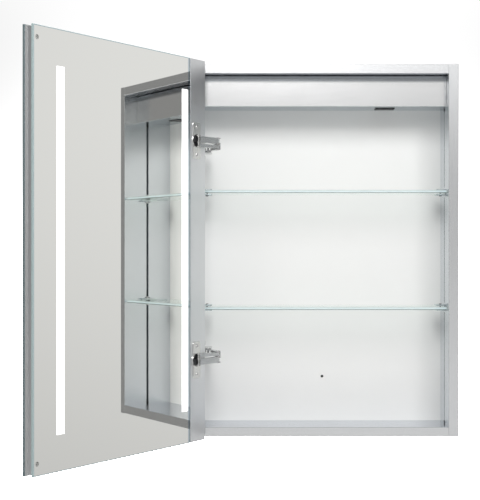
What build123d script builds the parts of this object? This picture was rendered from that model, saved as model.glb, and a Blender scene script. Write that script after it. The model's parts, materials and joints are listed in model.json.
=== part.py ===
"""Wall-mounted medicine cabinet with a lighted mirror door, in millimetres.

Frame: the origin is the centre of the back face, which lies on the wall. X points to the right
as seen from the front, Y points into the wall and Z points up, so the front faces -Y.
The door hangs on the left and is modelled open. Its pieces are drawn on planes that turn with it:
on them, x runs from the hinge edge along the door and y runs out of its rear face.
"""

from build123d import *
import os
from math import cos, hypot, radians, sin, sqrt

# Overall sizes
WIDTH = 508.0
HEIGHT = 711.0
BODY_DEPTH = 114.0

# Cabinet body
SIDE_THICKNESS = 19.0
RAIL_THICKNESS = 18.0
WALL = 1.8
FRONT_WALL = 2.4
EDGE_RADIUS = 0.8
BACK_THICKNESS = 3.0
BACK_LAP = 7.5
REBATE_GAP = 0.3
SCREW_BOSS_RADIUS = 4.5
BOSS_SETBACK = 22.0
CORNER_SCREW_BITE = 14.0
BACK_SCREW_BITE = 5.0
BACK_SCREW_SPAN = 0.8
PLUG_THICKNESS = 4.0
PLUG_GAP = 0.1

# Shelf slot in each side panel
SLOT_SETBACK = 55.5
SLOT_MOUTH = 5.0
SLOT_WIDTH = 10.0
SLOT_LIP = 1.8
SLOT_DEPTH = 7.0
STOP_LENGTH = 6.0
STOP_PROUD = 1.0

# Wall fixing holes in the back panel
WALL_HOLE_RADIUS = 2.75
LOWER_HOLE_RISE = 105.5
HANGER_DROP = 50.0
HANGER_SPACING = 400.0
CABLE_X = -160.0
CABLE_HOLE_RADIUS = 11.0
GROMMET_BORE = 5.0
GROMMET_FLANGE = (2.5, 2.0)
GROMMET_NECK = (3.0, 5.0)
GROMMET_TAPER = 8.0

# Light box under the ceiling
BOX_SETBACK = 30.0
BOX_HEIGHT = 60.0
SHEET = 1.2
STRIP_HEIGHT = 6.0
STRIP_STEP = 3.5
CEILING_GAP = 1.5
BOX_SIDE_GAP = 0.4
TAB_DEPTH = 22.0
TAB_HEIGHT = 26.0
TAB_SCREW_LENGTH = 7.0
FOLD_RADIUS = 1.0

# Electrical pieces
DRIVER_SIZE = (150.0, 26.0, 38.0)
DRIVER_X = -40.0
DRIVER_EAR = 12.0
DRIVER_EAR_THICKNESS = 2.0
DRIVER_CORNER = 3.0
DRIVER_ROUND = 2.0
DRIVER_LIFT = 4.0
TERMINAL_SIZE = (34.0, 16.0, 18.0)
TERMINAL_X = 75.0
TERMINAL_WAYS = 3
TERMINAL_HOLE = (2.2, 6.0)
TERMINAL_CHAMFER = 1.5
OUTLET_FACE = (38.0, 28.0)
OUTLET_BODY = (34.0, 24.0, 22.0)
OUTLET_LIP = 1.5
OUTLET_CORNER = 2.5
OUTLET_ROUND = 0.6
OUTLET_DEPTH = 14.0
OUTLET_X = 120.5
OUTLET_SETBACK = 75.0
BLADE_SLOT = (1.8, 7.0)
BLADE_SPACING = 12.7
BLADE_SHIFT = -3.0
EARTH_RADIUS = 2.4
EARTH_SHIFT = 10.0
CONTACT_RISE = 6.0
CONTACT_GAP = 0.2
CONTACT_THICKNESS = 0.6

# Shelves
SHELF_TOPS = {"upper": 115.5, "lower": -108.0}
SHELF_THICKNESS = 6.0
SHELF_SIDE_GAP = 3.0
SHELF_FRONT_SETBACK = 6.0
SHELF_BACK_GAP = 5.0
CLIP_GAP = 0.4
CLIP_REACH = 17.5
CLIP_DEPTH = 30.0
CLIP_PLATE = 2.2
CLIP_WEB = 2.4
CLIP_CORNER = 3.0
PAD_THICKNESS = 0.8
PAD_MARGIN = 2.0
GLASS_ARRIS = 0.5
CLAMP_SCREW_INSET = 8.0
SCREW_END_GAP = 0.4
NUT_LENGTH = 18.0
NUT_GAP = 0.3

# Door
DOOR_GAP = 3.0
DOOR_OPEN = 120.5
DOOR_CORNER = (25.7, -43.4)
GLASS = 4.0
LIGHT_SHEET = 4.0
FRAME_DEPTH = 8.0
TAPE = 2.0
STILE_WIDTH = 51.0
FRAME_WIDTH = 30.0
FRAME_INSET = 3.0
FRAME_WALL = 1.5
STILE_SETBACK = 0.5
MIRROR_ARRIS = 0.6
MIRROR_SEAM = 0.3
TAPE_WIDTH = 10.0
TAPE_INSET = 5.0
KEY_LENGTH = 36.0
KEY_GAP = 0.2
STILE_CAP = 1.5

# Light stripes of the mirrors, and what stands behind them
STRIPE_INSET = 58.0
STRIPE_WIDTH = 22.0
STRIPE_END = 60.0
CARRIER_WIDTH = 16.0
CARRIER_THICKNESS = 2.0
BOARD_WIDTH = 12.0
BOARD_THICKNESS = 1.2

# Bumpers
BUMPER_RADIUS = 4.0
BUMPER_GAP = 0.4
BUMPER_DROP = 20.0
BUMPER_ROUND = 1.2

# Hinges: heights above and below the middle, and layers measured from the hinge's own middle
HINGE_HEIGHT = 203.5
CUP_SETBACK = 31.0
CUP_RADIUS = 13.0
CUP_WALL = 1.0
CUP_DEPTH = 11.4
CUP_HOLE_GAP = 0.3
CUP_COLLAR = 1.4
WING_SIZE = (25.4, 68.7)
WING_THICKNESS = 1.6
WING_CORNER = 5.0
WING_CHAMFER = 0.4
CUP_SCREW_LENGTH = 8.0
CUP_SCREW_SPACING = 52.0
CUP_PIVOT_RISE = 5.0
ELBOW = (49.0, -25.0)
ARM_PIVOT = (30.0, 20.0)
PIN_RADIUS = 2.0
PIN_FIT = 0.05
PIN_HEAD = 0.8
PIN_HEAD_RADIUS = 3.0
PLATE = 1.5
BEAM_FOOT = -2.4
CUP_SHOULDER = 4.6
LINK_LAYER = (-13.7, -3.0)
GUIDE_HEAD = -5.3
GUIDE_SHOULDER = 1.8
GUIDE_HALF = 3.6
ELBOW_ROUND = 6.0
LAYER_GAP = 0.4
BEAM_HALF = 4.0
LINK_HALF = 5.5
EAR_HALF = 4.2
ARM_BACK = 75.0
ARM_REACH = 17.5
WALL_PLATE = 3.2
WALL_PLATE_DEPTH = (27.0, 72.0)
WALL_PLATE_MARGIN = 6.5
PLATE_SCREW_SPACING = 32.0
PLATE_SCREW_SETBACK = 37.0
ADJUSTER_SETBACK = 60.0
PLATE_SCREW_BITE = 9.0
WALL_PLATE_CORNER = 3.0
WALL_PLATE_ROUND = 5.85
ARM_NOSE = 2.0
ARM_STEP = 3.0
ARM_HEEL = 4.0
CATCH_RISE = 0.4
LINING_RISE = 1.2
CAP_START = 5.0
CAP_END = 13.2
CAP_RISE = 3.4
CAP_LIFT = 0.1
INSERT_GAP = 0.2
INSERT_CHAMFER = 0.5

# Screws: shank radius, head radius, head height
SMALL_SCREW = (1.4, 2.8, 1.4)
MEDIUM_SCREW = (1.9, 3.6, 2.0)
SCREW_FIT = 0.15
HEAD_CROWN = 0.6
CROSS_LENGTH = 0.9
CROSS_WIDTH = 0.22
CROSS_DEPTH = 0.5

# Worked out from the sizes above
HALF_W = WIDTH / 2
HALF_H = HEIGHT / 2
INNER_X = HALF_W - SIDE_THICKNESS
INNER_Z = HALF_H - RAIL_THICKNESS
FRONT_Y = -BODY_DEPTH
BACK_FACE_Y = -BACK_THICKNESS
SLOT_Y = FRONT_Y + SLOT_SETBACK
BOSS_YS = (FRONT_Y + BOSS_SETBACK, -BOSS_SETBACK)
BOSS_Z = HALF_H - RAIL_THICKNESS / 2
BOX_FRONT_Y = FRONT_Y + BOX_SETBACK
BOX_TOP_Z = INNER_Z - CEILING_GAP
BOX_FLOOR_Z = INNER_Z - BOX_HEIGHT
BOX_HALF = INNER_X - BOX_SIDE_GAP
TAB_YS = (BOX_FRONT_Y + TAB_DEPTH, -TAB_DEPTH)
HANGER_Z = HALF_H - HANGER_DROP
DOOR_THICKNESS = GLASS + LIGHT_SHEET + FRAME_DEPTH + TAPE + GLASS
FRAME_FRONT = -DOOR_THICKNESS + GLASS + LIGHT_SHEET
FRAME_REAR = FRAME_FRONT + FRAME_DEPTH
FRAME_Z = HALF_H - FRAME_INSET
FREE_EDGE = WIDTH - FRAME_INSET
STRIPE_CENTRES = (STRIPE_INSET + STRIPE_WIDTH / 2, WIDTH - STRIPE_INSET - STRIPE_WIDTH / 2)
CORNER = Vector(-HALF_W + DOOR_CORNER[0], FRONT_Y + DOOR_CORNER[1], 0)
ALONG = Vector(cos(radians(-DOOR_OPEN)), sin(radians(-DOOR_OPEN)), 0)
OUTWARD = Vector(-ALONG.Y, ALONG.X, 0)
CUP_PIN = CORNER + ALONG * CUP_SETBACK + OUTWARD * CUP_PIVOT_RISE
ELBOW_PIN = Vector(-HALF_W + ELBOW[0], FRONT_Y + ELBOW[1], 0)
ARM_PIN = Vector(-HALF_W + ARM_PIVOT[0], FRONT_Y + ARM_PIVOT[1], 0)
BEAM_LAYER = (BEAM_FOOT, CUP_RADIUS - CUP_SHOULDER)
GUIDE_LAYER = (GUIDE_SHOULDER - CUP_RADIUS, GUIDE_HEAD)
ARM_LAYER = (LINK_LAYER[0] - LAYER_GAP - PLATE, LINK_LAYER[1] + LAYER_GAP + PLATE)
ARM_MIDDLE = (ARM_LAYER[0] + ARM_LAYER[1]) / 2
BUMPER_THICKNESS = DOOR_GAP - BUMPER_GAP
SIDE_CAVITIES = (
    (FRONT_Y + FRONT_WALL, SLOT_Y - SLOT_WIDTH / 2 - WALL),
    (SLOT_Y + SLOT_WIDTH / 2 + WALL, BACK_FACE_Y - WALL),
)
SIDES = {"left": -1, "right": 1}
HINGES = {"upper": 1, "lower": -1}

os.makedirs("parts", exist_ok=True)


def outward_faces(piece):
    """Faces of a door piece, from the door's front to the rear."""
    return piece.faces().sort_by(Axis(origin=(0, 0, 0), direction=OUTWARD))


def save(piece, name):
    """Labels a finished piece and writes it to its own file."""
    piece.part.label = name
    export_step(piece.part, f"parts/{name}.step")


def door_plan(z):
    """Level plane at height z that turns with the door: x along the door, y out of its rear face."""
    return Plane(origin=CORNER + Vector(0, 0, z), x_dir=ALONG, z_dir=(0, 0, 1))


def door_face(rise):
    """Upright plane parallel to the door, rise above its rear face; it faces the door's front."""
    return Plane(origin=CORNER + OUTWARD * rise, x_dir=ALONG, z_dir=-OUTWARD)


def link_plan(start, end, z):
    """Level plane at height z with its origin on one pin and its x towards the next."""
    return Plane(origin=start + Vector(0, 0, z), x_dir=end - start, z_dir=(0, 0, 1))


def base_of(side, low, high):
    """Lowest height of a hinge layer: the lower hinge is the upper one upside down."""
    return min(side * (HINGE_HEIGHT + low), side * (HINGE_HEIGHT + high))


def turned_screw(plane, spots, size, length, sunk=False):
    """Screws at the spots of a plane; each head stands on the plane and the shank goes below it."""
    shank, head, rise = size
    crown = [(head, rise * HEAD_CROWN), (head * HEAD_CROWN, rise)]
    outline = [(0, -length), (shank, -length), (shank, 0), (head, 0)] + crown
    if sunk:
        outline = [(0, -length), (shank, -length), (shank, shank - head), (head, 0)]
    with BuildPart() as screw:
        with BuildSketch(Plane.XZ):
            with BuildLine():
                Polyline(*outline, (0, outline[-1][1]), (0, -length))
            make_face()
        revolve(axis=Axis.Z)
        with BuildSketch(Plane.XY.offset(outline[-1][1])):
            Rectangle(head * CROSS_LENGTH, head * CROSS_WIDTH)
            Rectangle(head * CROSS_WIDTH, head * CROSS_LENGTH)
        extrude(amount=-rise * CROSS_DEPTH, mode=Mode.SUBTRACT)
    with BuildPart() as screws:
        with Locations(*[plane.location * Location((x, y, 0)) for x, y in spots]):
            add(screw.part)
    return screws


def merge(pieces):
    """Several groups of screws, pins or pads as one piece."""
    with BuildPart() as group:
        for piece in pieces:
            add(piece.part)
    return group


# ---------------------------------------------------------------- cabinet body


def side_panel(side):
    """Hollow side extrusion with the shelf slot, the back rebate and its screw holes."""
    outer = side * HALF_W
    middle = side * (HALF_W - SIDE_THICKNESS / 2)
    with BuildPart() as panel:
        with BuildSketch(Plane.XY.offset(-HALF_H)) as profile:
            with Locations((middle, FRONT_Y / 2)):
                Rectangle(SIDE_THICKNESS, BODY_DEPTH)
            fillet(profile.vertices().group_by(Axis.Y)[0], EDGE_RADIUS)
            for low, high in SIDE_CAVITIES:
                with Locations((middle, (low + high) / 2)):
                    Rectangle(SIDE_THICKNESS - 2 * WALL, high - low, mode=Mode.SUBTRACT)
            with Locations((side * (INNER_X + SLOT_LIP / 2), SLOT_Y)):
                Rectangle(SLOT_LIP, SLOT_MOUTH, mode=Mode.SUBTRACT)
            with Locations((side * (INNER_X + SLOT_LIP + (SLOT_DEPTH - SLOT_LIP) / 2), SLOT_Y)):
                Rectangle(SLOT_DEPTH - SLOT_LIP, SLOT_WIDTH, mode=Mode.SUBTRACT)
            with Locations((side * (INNER_X + (BACK_LAP + REBATE_GAP) / 2), BACK_FACE_Y / 2)):
                Rectangle(BACK_LAP + REBATE_GAP, BACK_THICKNESS, mode=Mode.SUBTRACT)
        extrude(amount=HEIGHT)
        # Through holes for the corner screws, with a recess for each head
        with BuildSketch(Plane.YZ.offset(outer)):
            with Locations(*corner_spots()):
                Circle(MEDIUM_SCREW[0] + SCREW_FIT)
        extrude(amount=-side * SIDE_THICKNESS, mode=Mode.SUBTRACT)
        with BuildSketch(Plane.YZ.offset(outer)):
            with Locations(*corner_spots()):
                Circle(MEDIUM_SCREW[1] + SCREW_FIT)
        extrude(amount=-side * WALL, mode=Mode.SUBTRACT)
        # Holes for the light box screws in the inner wall
        with BuildSketch(Plane.YZ.offset(side * INNER_X)):
            with Locations(*tab_spots()):
                Circle(SMALL_SCREW[0] + SCREW_FIT)
        extrude(amount=side * WALL, mode=Mode.SUBTRACT)
        # Holes for the back screws in the rebate
        with BuildSketch(Plane.XZ.offset(BACK_THICKNESS)):
            with Locations(*back_spots(side)):
                Circle(SMALL_SCREW[0] + SCREW_FIT)
        extrude(amount=WALL, mode=Mode.SUBTRACT)
        if side < 0:
            with BuildSketch(Plane.YZ.offset(side * INNER_X)):
                with Locations(*plate_spots()):
                    Circle(MEDIUM_SCREW[0] + SCREW_FIT)
            extrude(amount=side * WALL, mode=Mode.SUBTRACT)
    return panel


def corner_spots():
    """(y, z) of the four screws in one side panel."""
    return [(y, z) for y in BOSS_YS for z in (-BOSS_Z, BOSS_Z)]


def tab_spots():
    """(y, z) of the two light box screws at one end."""
    return [(y, BOX_FLOOR_Z + TAB_HEIGHT / 2) for y in TAB_YS]


def back_spots(side):
    """(x, z) of the back screws along one side panel."""
    pitch = HALF_H * BACK_SCREW_SPAN / 3
    return [(side * (INNER_X + BACK_LAP / 2), step * pitch) for step in (-3, -1, 1, 3)]


def rail_back_spots(level):
    """(x, z) of the back screws along the top or bottom panel."""
    return [(x * INNER_X / 2, level * (INNER_Z + BACK_LAP / 2)) for x in (-1, 1)]


def plate_spots():
    """(y, z) of the wall plate screws of both hinges."""
    y = FRONT_Y + PLATE_SCREW_SETBACK
    offsets = (ARM_MIDDLE - PLATE_SCREW_SPACING / 2, ARM_MIDDLE + PLATE_SCREW_SPACING / 2)
    return [(y, side * (HINGE_HEIGHT + rise)) for side in HINGES.values() for rise in offsets]


def rail_panel(level):
    """Hollow top or bottom extrusion between the sides, with two screw bosses."""
    centre = level * BOSS_Z
    cavity_low = FRONT_Y + FRONT_WALL
    cavity_high = BACK_FACE_Y - WALL
    with BuildPart() as panel:
        with BuildSketch(Plane.YZ.offset(-INNER_X)) as profile:
            with Locations((FRONT_Y / 2, centre)):
                Rectangle(BODY_DEPTH, RAIL_THICKNESS)
            chamfer(profile.vertices().group_by(Axis.X)[0], EDGE_RADIUS)
            with Locations(((cavity_low + cavity_high) / 2, centre)):
                Rectangle(cavity_high - cavity_low, RAIL_THICKNESS - 2 * WALL, mode=Mode.SUBTRACT)
            with Locations(*[(y, centre) for y in BOSS_YS]):
                Circle(SCREW_BOSS_RADIUS)
                Rectangle(WALL, RAIL_THICKNESS - WALL)
            with Locations(*[(y, centre) for y in BOSS_YS]):
                Circle(MEDIUM_SCREW[0] + SCREW_FIT, mode=Mode.SUBTRACT)
            with Locations((BACK_FACE_Y / 2, level * (INNER_Z + (BACK_LAP + REBATE_GAP) / 2))):
                Rectangle(BACK_THICKNESS, BACK_LAP + REBATE_GAP, mode=Mode.SUBTRACT)
        extrude(amount=2 * INNER_X)
        with BuildSketch(Plane.XZ.offset(BACK_THICKNESS)):
            with Locations(*rail_back_spots(level)):
                Circle(SMALL_SCREW[0] + SCREW_FIT)
        extrude(amount=WALL, mode=Mode.SUBTRACT)
    return panel


for name, side in SIDES.items():
    save(side_panel(side), f"side_panel_{name}")
save(rail_panel(1), "top_panel")
save(rail_panel(-1), "bottom_panel")

with BuildPart() as back_panel:
    with BuildSketch(Plane.XZ):
        Rectangle(2 * (INNER_X + BACK_LAP), 2 * (INNER_Z + BACK_LAP))
        with Locations((0, -HALF_H + LOWER_HOLE_RISE)):
            Circle(WALL_HOLE_RADIUS, mode=Mode.SUBTRACT)
        with Locations((0, HANGER_Z)):
            with GridLocations(HANGER_SPACING, 0, 2, 1):
                Circle(WALL_HOLE_RADIUS, mode=Mode.SUBTRACT)
        with Locations((CABLE_X, HANGER_Z)):
            Circle(CABLE_HOLE_RADIUS, mode=Mode.SUBTRACT)
    extrude(amount=BACK_THICKNESS)
    rim = back_spots(-1) + back_spots(1) + rail_back_spots(-1) + rail_back_spots(1)
    with Locations(*[Plane.XZ.rotated((0, 180, 0)).location * Location((-x, z, 0)) for x, z in rim]):
        CounterSinkHole(SMALL_SCREW[0] + SCREW_FIT, SMALL_SCREW[1] + SCREW_FIT, depth=BACK_THICKNESS)
save(back_panel, "back_panel")

wall_side = Plane(origin=(0, 0, 0), x_dir=(-1, 0, 0), z_dir=(0, 1, 0))
save(
    turned_screw(
        wall_side,
        [(-x, z) for x, z in rim],
        SMALL_SCREW,
        BACK_THICKNESS + BACK_SCREW_BITE,
        sunk=True,
    ),
    "back_screws",
)

corner_groups = []
for side in SIDES.values():
    outer_face = Plane(origin=(side * (HALF_W - WALL), 0, 0), x_dir=(0, side, 0), z_dir=(side, 0, 0))
    spots = [(side * y, z) for y, z in corner_spots()]
    flush_screw = (MEDIUM_SCREW[0], MEDIUM_SCREW[1], WALL)
    length = SIDE_THICKNESS - WALL + CORNER_SCREW_BITE
    corner_groups.append(turned_screw(outer_face, spots, flush_screw, length))
save(merge(corner_groups), "corner_screws")

with BuildPart() as end_plugs:
    for base in (-HALF_H, HALF_H - PLUG_THICKNESS):
        with BuildSketch(Plane.XY.offset(base)):
            for side in SIDES.values():
                for low, high in SIDE_CAVITIES:
                    with Locations((side * (HALF_W - SIDE_THICKNESS / 2), (low + high) / 2)):
                        Rectangle(SIDE_THICKNESS - 2 * (WALL + PLUG_GAP), high - low - 2 * PLUG_GAP)
        extrude(amount=PLUG_THICKNESS)
save(end_plugs, "end_plugs")

with BuildPart() as slot_stops:
    for base in (-INNER_Z, BOX_FLOOR_Z - STOP_LENGTH - OUTLET_LIP):
        with BuildSketch(Plane.XY.offset(base)):
            for side in SIDES.values():
                neck = STOP_PROUD + SLOT_LIP + PLUG_GAP
                with Locations((side * (INNER_X - STOP_PROUD + neck / 2), SLOT_Y)):
                    Rectangle(neck, SLOT_MOUTH - 2 * PLUG_GAP)
                head = SLOT_DEPTH - SLOT_LIP - 2 * PLUG_GAP
                with Locations((side * (INNER_X + SLOT_LIP + PLUG_GAP + head / 2), SLOT_Y)):
                    Rectangle(head, SLOT_WIDTH - 2 * PLUG_GAP)
        extrude(amount=STOP_LENGTH)
save(slot_stops, "slot_stops")

# ---------------------------------------------------------------- light box

with BuildPart() as cover:
    with BuildSketch(Plane.YZ.offset(-BOX_HALF)):
        with BuildLine():
            Polyline(
                (BOX_FRONT_Y, BOX_FLOOR_Z),
                (BOX_FRONT_Y, BOX_TOP_Z - STRIP_HEIGHT),
                (BOX_FRONT_Y + STRIP_STEP, BOX_TOP_Z - STRIP_HEIGHT),
                (BOX_FRONT_Y + STRIP_STEP, BOX_TOP_Z),
                (BOX_FRONT_Y + STRIP_STEP + SHEET, BOX_TOP_Z),
                (BOX_FRONT_Y + STRIP_STEP + SHEET, BOX_TOP_Z - STRIP_HEIGHT - SHEET),
                (BOX_FRONT_Y + SHEET, BOX_TOP_Z - STRIP_HEIGHT - SHEET),
                (BOX_FRONT_Y + SHEET, BOX_FLOOR_Z + SHEET),
                (BACK_FACE_Y - REBATE_GAP, BOX_FLOOR_Z + SHEET),
                (BACK_FACE_Y - REBATE_GAP, BOX_FLOOR_Z),
                close=True,
            )
        make_face()
    extrude(amount=2 * BOX_HALF)
    fold = cover.edges().filter_by(Axis.X).group_by(Axis.Z)[0].sort_by(Axis.Y)[0]
    fillet(fold, FOLD_RADIUS)
    # Fixing tabs folded up at both ends
    for side in SIDES.values():
        with BuildSketch(Plane.YZ.offset(side * BOX_HALF)):
            with Locations(*[(y, BOX_FLOOR_Z + TAB_HEIGHT / 2) for y in TAB_YS]):
                Rectangle(TAB_DEPTH, TAB_HEIGHT)
            with Locations(*tab_spots()):
                Circle(SMALL_SCREW[0] + SCREW_FIT, mode=Mode.SUBTRACT)
        extrude(amount=-side * SHEET)
    # Cut-out for the outlet
    with BuildSketch(Plane.XY.offset(BOX_FLOOR_Z)):
        with Locations((OUTLET_X, FRONT_Y + OUTLET_SETBACK)):
            Rectangle(OUTLET_BODY[0] + 2 * SCREW_FIT, OUTLET_BODY[1] + 2 * SCREW_FIT)
    extrude(amount=SHEET, mode=Mode.SUBTRACT)
save(cover, "light_box_cover")

box_groups = []
for side in SIDES.values():
    tab_face = Plane(origin=(side * (BOX_HALF - SHEET), 0, 0), x_dir=(0, -side, 0), z_dir=(-side, 0, 0))
    spots = [(-side * y, z) for y, z in tab_spots()]
    box_groups.append(turned_screw(tab_face, spots, SMALL_SCREW, TAB_SCREW_LENGTH))
save(merge(box_groups), "light_box_screws")

DRIVER_Z = BOX_FLOOR_Z + SHEET + DRIVER_LIFT + DRIVER_SIZE[2] / 2
EAR_SPOTS = [(DRIVER_X + end * (DRIVER_SIZE[0] + DRIVER_EAR) / 2, DRIVER_Z) for end in (-1, 1)]
with BuildPart() as led_driver:
    with BuildSketch(Plane.XZ.offset(BACK_THICKNESS)):
        with Locations((DRIVER_X, DRIVER_Z)):
            RectangleRounded(DRIVER_SIZE[0], DRIVER_SIZE[2], DRIVER_CORNER)
    extrude(amount=DRIVER_SIZE[1])
    fillet(led_driver.faces().sort_by(Axis.Y)[0].edges(), DRIVER_ROUND)
    with BuildSketch(Plane.XZ.offset(BACK_THICKNESS)):
        with Locations(*EAR_SPOTS):
            Rectangle(DRIVER_EAR, DRIVER_SIZE[2] / 2)
        with Locations(*EAR_SPOTS):
            Circle(SMALL_SCREW[0] + SCREW_FIT, mode=Mode.SUBTRACT)
    extrude(amount=DRIVER_EAR_THICKNESS)
save(led_driver, "led_driver")

driver_face = Plane.XZ.offset(BACK_THICKNESS + DRIVER_EAR_THICKNESS)
save(turned_screw(driver_face, EAR_SPOTS, SMALL_SCREW, DRIVER_EAR_THICKNESS), "driver_screws")

with BuildPart() as terminal_block:
    with BuildSketch(Plane.XZ.offset(BACK_THICKNESS)):
        with Locations((TERMINAL_X, DRIVER_Z)):
            Rectangle(TERMINAL_SIZE[0], TERMINAL_SIZE[2])
    extrude(amount=TERMINAL_SIZE[1])
    chamfer(terminal_block.faces().sort_by(Axis.Y)[0].edges(), TERMINAL_CHAMFER)
    with BuildSketch(Plane.XZ.offset(BACK_THICKNESS + TERMINAL_SIZE[1])):
        with Locations((TERMINAL_X, DRIVER_Z)):
            with GridLocations(TERMINAL_SIZE[0] / (TERMINAL_WAYS + 0.5), 0, TERMINAL_WAYS, 1):
                Circle(TERMINAL_HOLE[0])
    extrude(amount=-TERMINAL_HOLE[1], mode=Mode.SUBTRACT)
save(terminal_block, "terminal_block")

with BuildPart() as cable_grommet:
    neck_start = BACK_THICKNESS + GROMMET_FLANGE[1]
    layers = (
        (0, BACK_THICKNESS, CABLE_HOLE_RADIUS - SCREW_FIT, 0),
        (BACK_THICKNESS, GROMMET_FLANGE[1], CABLE_HOLE_RADIUS + GROMMET_FLANGE[0], 0),
        (neck_start, GROMMET_NECK[1], GROMMET_BORE + GROMMET_NECK[0], GROMMET_TAPER),
    )
    for start, thickness, radius, taper in layers:
        with BuildSketch(Plane.XZ.offset(start)):
            with Locations((CABLE_X, HANGER_Z)):
                Circle(radius)
        extrude(amount=thickness, taper=taper)
    with BuildSketch(Plane.XZ):
        with Locations((CABLE_X, HANGER_Z)):
            Circle(GROMMET_BORE)
    extrude(amount=BACK_THICKNESS + GROMMET_FLANGE[1] + GROMMET_NECK[1], mode=Mode.SUBTRACT)
save(cable_grommet, "cable_grommet")

OUTLET_Y = FRONT_Y + OUTLET_SETBACK
with BuildPart() as power_outlet:
    with BuildSketch(Plane.XY.offset(BOX_FLOOR_Z - OUTLET_LIP)):
        with Locations((OUTLET_X, OUTLET_Y)):
            RectangleRounded(OUTLET_FACE[0], OUTLET_FACE[1], OUTLET_CORNER)
    extrude(amount=OUTLET_LIP)
    fillet(power_outlet.edges().group_by(Axis.Z)[0], OUTLET_ROUND)
    with BuildSketch(Plane.XY.offset(BOX_FLOOR_Z)):
        with Locations((OUTLET_X, OUTLET_Y)):
            Rectangle(OUTLET_BODY[0], OUTLET_BODY[1])
    extrude(amount=OUTLET_BODY[2])
    with BuildSketch(Plane.XY.offset(BOX_FLOOR_Z - OUTLET_LIP)):
        with Locations((OUTLET_X + BLADE_SHIFT, OUTLET_Y)):
            with GridLocations(0, BLADE_SPACING, 1, 2):
                Rectangle(BLADE_SLOT[1], BLADE_SLOT[0])
        with Locations((OUTLET_X + EARTH_SHIFT, OUTLET_Y)):
            Circle(EARTH_RADIUS)
    extrude(amount=OUTLET_DEPTH, mode=Mode.SUBTRACT)
save(power_outlet, "power_outlet")

with BuildPart() as outlet_contacts:
    with BuildSketch(Plane.XY.offset(BOX_FLOOR_Z + CONTACT_RISE)):
        with Locations((OUTLET_X + BLADE_SHIFT, OUTLET_Y)):
            with GridLocations(0, BLADE_SPACING, 1, 2):
                Rectangle(BLADE_SLOT[1] - 2 * CONTACT_GAP, CONTACT_THICKNESS)
        with Locations((OUTLET_X + EARTH_SHIFT, OUTLET_Y)):
            Circle(EARTH_RADIUS - CONTACT_GAP)
            Circle(EARTH_RADIUS - CONTACT_GAP - CONTACT_THICKNESS, mode=Mode.SUBTRACT)
    extrude(amount=OUTLET_DEPTH - OUTLET_LIP - CONTACT_RISE)
save(outlet_contacts, "outlet_contacts")

# ---------------------------------------------------------------- shelves


def clip_spots():
    """(x, y) of the clamp screws of one shelf."""
    return [(side * (INNER_X - CLAMP_SCREW_INSET), SLOT_Y) for side in SIDES.values()]


def shelf_clip(side, top):
    """One clamp: a web on the wall, and plates above and below the glass."""
    low = top - SHELF_THICKNESS - PAD_THICKNESS - CLIP_PLATE
    height = SHELF_THICKNESS + 2 * (PAD_THICKNESS + CLIP_PLATE)
    face = INNER_X - CLIP_GAP
    with BuildPart() as clip:
        with BuildSketch(Plane.XY.offset(low)) as outline:
            with Locations((side * (face - CLIP_REACH / 2), SLOT_Y)):
                Rectangle(CLIP_REACH, CLIP_DEPTH)
            fillet(outline.vertices().sort_by(Axis.X if side > 0 else -Axis.X)[:2], CLIP_CORNER)
        extrude(amount=height)
        with BuildSketch(Plane.XY.offset(low + CLIP_PLATE)):
            with Locations((side * (face - CLIP_WEB - CLIP_REACH / 2), SLOT_Y)):
                Rectangle(CLIP_REACH, CLIP_DEPTH)
        extrude(amount=height - 2 * CLIP_PLATE, mode=Mode.SUBTRACT)
        with BuildSketch(Plane.XY.offset(low)):
            with Locations((side * (INNER_X - CLAMP_SCREW_INSET), SLOT_Y)):
                Circle(SMALL_SCREW[0] + SCREW_FIT)
        extrude(amount=height, mode=Mode.SUBTRACT)
    return clip


def shelf_pads(top):
    """Four soft liners between the glass and the plates."""
    glass_edge = INNER_X - SHELF_SIDE_GAP
    clip_tip = INNER_X - CLIP_GAP - CLIP_REACH
    with BuildPart() as pads:
        for low in (top, top - SHELF_THICKNESS - PAD_THICKNESS):
            with BuildSketch(Plane.XY.offset(low)):
                for side in SIDES.values():
                    with Locations((side * (glass_edge + clip_tip + PAD_MARGIN) / 2, SLOT_Y)):
                        Rectangle(glass_edge - clip_tip - PAD_MARGIN, CLIP_DEPTH - 2 * PAD_MARGIN)
                with Locations(*clip_spots()):
                    Circle(SMALL_SCREW[0] + SCREW_FIT, mode=Mode.SUBTRACT)
            extrude(amount=PAD_THICKNESS)
    return pads


def slot_nuts(top):
    """Nuts that slide in the side panel slots and carry the clips."""
    middle = top - SHELF_THICKNESS / 2
    face = INNER_X - CLIP_GAP
    with BuildPart() as nuts:
        for side in SIDES.values():
            with BuildSketch(Plane.XY.offset(middle - NUT_LENGTH / 2)):
                neck = INNER_X + SLOT_LIP + NUT_GAP - face
                with Locations((side * (face + neck / 2), SLOT_Y)):
                    Rectangle(neck, SLOT_MOUTH - 2 * NUT_GAP)
                head = SLOT_DEPTH - SLOT_LIP - 2 * NUT_GAP
                with Locations((side * (INNER_X + SLOT_LIP + NUT_GAP + head / 2), SLOT_Y)):
                    Rectangle(head, SLOT_WIDTH - 2 * NUT_GAP)
            extrude(amount=NUT_LENGTH)
    return nuts


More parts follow.
